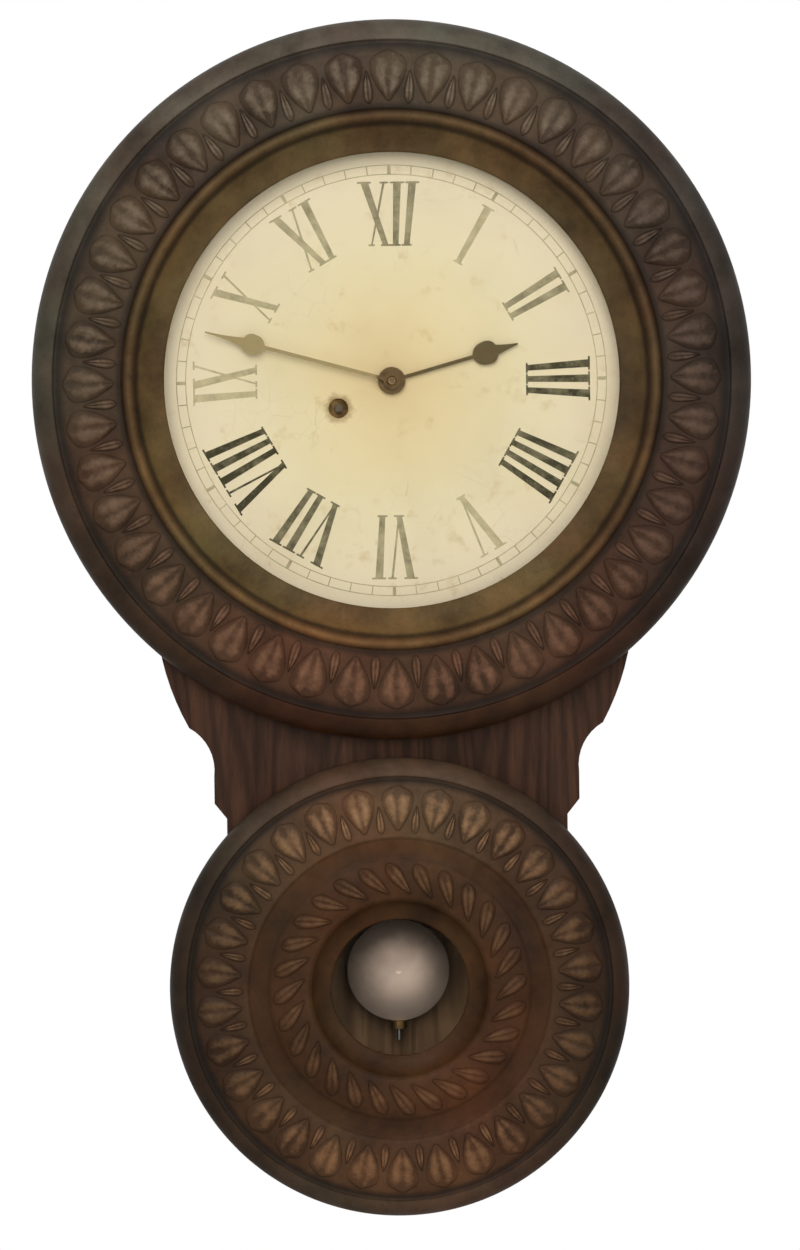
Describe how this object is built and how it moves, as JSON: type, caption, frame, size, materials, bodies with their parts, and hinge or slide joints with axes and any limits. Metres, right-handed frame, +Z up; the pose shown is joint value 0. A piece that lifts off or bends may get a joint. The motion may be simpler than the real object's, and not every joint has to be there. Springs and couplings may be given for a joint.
{
  "type": "wall clock",
  "caption": "Figure-eight wall clock with a round dial door above a smaller round window door, spring-driven movement, hands and pendulum.",
  "frame": {"origin": "centre of the hole that the clock hangs by, on the plane of the wall", "axes": "+X to the viewer's right, +Y into the wall, +Z up"},
  "size_m": [0.4699, 0.1041, 0.784],
  "materials": {
    "wood": "dark stained and varnished",
    "composition": "pressed paper composition, painted dark brown and worn, about as dense as wood",
    "glass": "clear",
    "bead": "painted dark",
    "dial_paint": "aged cream paint",
    "blued_steel": "dark",
    "brass": "aged",
    "steel": "dull"
  },
  "bodies": {
    "case": {"case_back": "wood", "upper_hoop": "wood", "lower_hoop": "wood", "waist_left": "wood", "waist_right": "wood", "case_front": "wood", "hanger_plate": "steel", "hanger_screws": "steel", "dial": "dial_paint", "dial_screws": "steel", "movement_blocks": "wood", "movement_screws": "steel", "back_plate": "brass", "front_plate": "brass", "plate_pillars": "steel", "pillar_nuts": "steel", "mainspring": "steel", "suspension_cock": "steel", "suspension_chops": "brass", "upper_hinge_case_leaves": "brass", "upper_hinge_pins": "steel", "lower_hinge_case_leaves": "brass", "lower_hinge_pins": "steel", "hook_screws": "steel"},
    "upper_door": {"upper_door_ring": "composition", "dial_glass": "glass", "dial_glass_bead": "bead", "upper_hinge_door_leaves": "brass", "upper_keeper": "brass"},
    "lower_door": {"lower_door_ring": "composition", "window_glass": "glass", "window_bead": "bead", "lower_hinge_door_leaves": "brass", "lower_keeper": "brass"},
    "upper_latch": {"upper_hook": "brass"},
    "lower_latch": {"lower_hook": "brass"},
    "minute_work": {"minute_arbor": "steel", "cannon_pinion": "brass", "minute_hand": "blued_steel", "hand_nut": "brass"},
    "hour_work": {"hour_wheel": "brass", "hour_hand": "blued_steel"},
    "minute_reduction": {"minute_wheel": "brass"},
    "great_work": {"great_wheel": "brass", "click_spring": "brass"},
    "click_pawl": {"click": "steel"},
    "winding_work": {"winding_arbor": "steel", "ratchet_wheel": "steel"},
    "centre_work": {"centre_wheel": "brass", "centre_pinion": "steel"},
    "third_work": {"third_wheel": "brass", "third_arbor": "steel"},
    "escape_work": {"escape_wheel": "brass", "escape_arbor": "steel"},
    "verge_work": {"verge": "steel", "crutch": "steel"},
    "pendulum": {"suspension_spring": "steel", "pendulum_rod": "steel"},
    "bob": {"pendulum_bob": "brass"},
    "nut": {"rating_nut": "brass"}
  },
  "joints": [
    {"name": "upper_door_hinge", "type": "hinge", "parent": "case", "child": "upper_door", "pos_m": [-0.22476, -0.0735, -0.185], "axis": [0, 0, -1], "range_deg": [0, 95]},
    {"name": "lower_door_hinge", "type": "hinge", "parent": "case", "child": "lower_door", "pos_m": [-0.14108, -0.0735, -0.583], "axis": [0, 0, -1], "range_deg": [0, 95]},
    {"name": "upper_hook_swing", "type": "hinge", "parent": "case", "child": "upper_latch", "pos_m": [0.2265, -0.046, -0.185], "axis": [-1, 0, 0], "range_deg": [0, 90]},
    {"name": "lower_hook_swing", "type": "hinge", "parent": "case", "child": "lower_latch", "pos_m": [0.1425, -0.046, -0.583], "axis": [-1, 0, 0], "range_deg": [0, 90]},
    {"name": "minute_hand_turn", "type": "hinge", "parent": "case", "child": "minute_work", "pos_m": [0, -0.0824, -0.185], "axis": [0, 1, 0], "continuous": true},
    {"name": "hour_hand_turn", "type": "hinge", "parent": "case", "child": "hour_work", "pos_m": [0, -0.079, -0.185], "axis": [0, 1, 0], "continuous": true},
    {"name": "minute_wheel_turn", "type": "hinge", "parent": "case", "child": "minute_reduction", "pos_m": [0.00926, -0.0665, -0.19603], "axis": [0, 1, 0], "continuous": true},
    {"name": "third_wheel_turn", "type": "hinge", "parent": "case", "child": "third_work", "pos_m": [0.01451, -0.052, -0.16428], "axis": [0, 1, 0], "continuous": true},
    {"name": "centre_wheel_turn", "type": "hinge", "parent": "case", "child": "centre_work", "pos_m": [0, -0.052, -0.185], "axis": [0, 1, 0], "continuous": true},
    {"name": "escape_wheel_turn", "type": "hinge", "parent": "case", "child": "escape_work", "pos_m": [0, -0.052, -0.15201], "axis": [0, 1, 0], "continuous": true},
    {"name": "great_wheel_turn", "type": "hinge", "parent": "case", "child": "great_work", "pos_m": [-0.0351, -0.052, -0.20258], "axis": [0, 1, 0], "continuous": true},
    {"name": "winding_turn", "type": "hinge", "parent": "great_work", "child": "winding_work", "pos_m": [-0.0351, -0.052, -0.20258], "axis": [0, 1, 0], "continuous": true},
    {"name": "click_lift", "type": "hinge", "parent": "great_work", "child": "click_pawl", "pos_m": [-0.0351, -0.059, -0.18308], "axis": [0, -1, 0], "range_deg": [0, 12]},
    {"name": "pendulum_swing", "type": "hinge", "parent": "case", "child": "pendulum", "pos_m": [0, -0.026, -0.12968], "axis": [0, 1, 0], "range_deg": [-3, 3]},
    {"name": "verge_swing", "type": "hinge", "parent": "case", "child": "verge_work", "pos_m": [0, -0.052, -0.12968], "axis": [0, 1, 0], "range_deg": [-3, 3]},
    {"name": "bob_slide", "type": "slide", "parent": "pendulum", "child": "bob", "axis": [0, 0, 1], "range_m": [-0.004, 0.004]},
    {"name": "rating_nut_turn", "type": "hinge", "parent": "bob", "child": "nut", "pos_m": [0, -0.026, -0.6123], "axis": [0, 0, 1], "range_deg": [-1800, 1800]}
  ],
  "couplings": [
    {"joint": "centre_wheel_turn", "follows": "third_wheel_turn", "ratio": -0.095238},
    {"joint": "escape_wheel_turn", "follows": "third_wheel_turn", "ratio": -8.5},
    {"joint": "great_wheel_turn", "follows": "third_wheel_turn", "ratio": 0.0079365},
    {"joint": "minute_wheel_turn", "follows": "minute_hand_turn", "ratio": -0.33333},
    {"joint": "hour_hand_turn", "follows": "minute_hand_turn", "ratio": 0.083333},
    {"joint": "verge_swing", "follows": "pendulum_swing", "ratio": 1},
    {"joint": "rating_nut_turn", "follows": "bob_slide", "rad_per_m": 7854}
  ]
}
